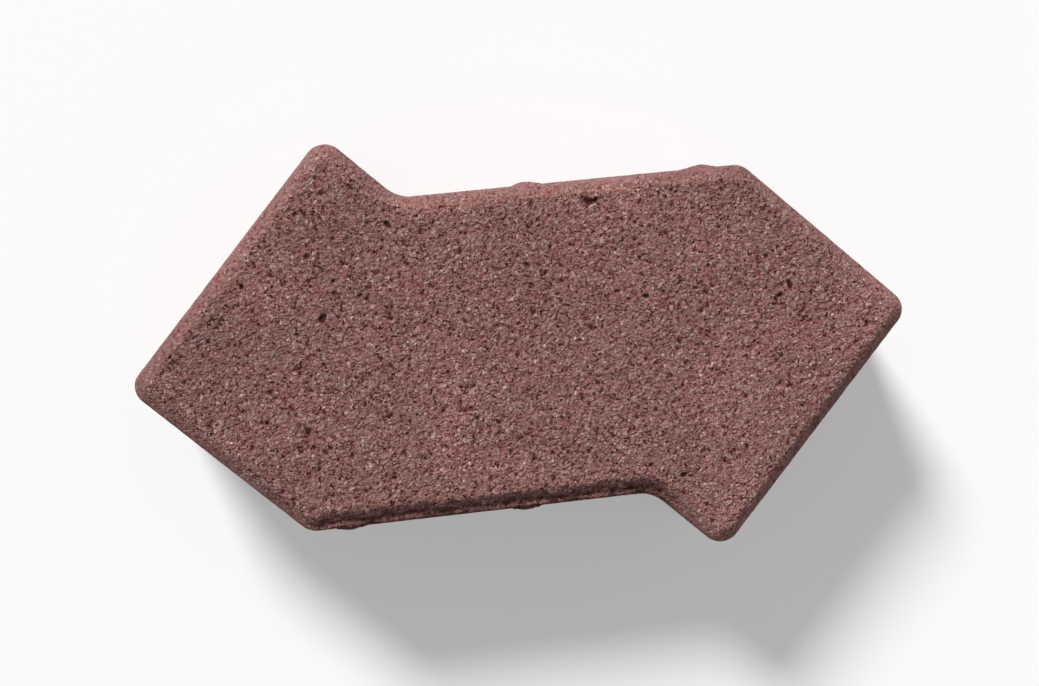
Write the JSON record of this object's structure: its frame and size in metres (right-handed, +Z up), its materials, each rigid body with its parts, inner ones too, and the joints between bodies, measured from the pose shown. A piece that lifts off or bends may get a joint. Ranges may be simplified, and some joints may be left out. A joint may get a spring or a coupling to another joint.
{
  "type": "concrete paving stone",
  "caption": "Interlocking block paver of pressed coloured concrete: a straight body with an arrow-shaped end each way, a bevelled wearing face and spacer nibs on its straight sides.",
  "frame": {"origin": "centre of the bedding face, on the ground that the stone lies on", "axes": "+X along the stone's length towards a nose, +Y across it towards the straight side whose barb is at the -X end, +Z up out of the wearing face"},
  "size_m": [0.241, 0.1366, 0.06],
  "materials": {
    "concrete": "matt pressed concrete, dark red-brown, fine open grain"
  },
  "bodies": {
    "root": {"paving_stone": "concrete"}
  },
  "joints": []
}
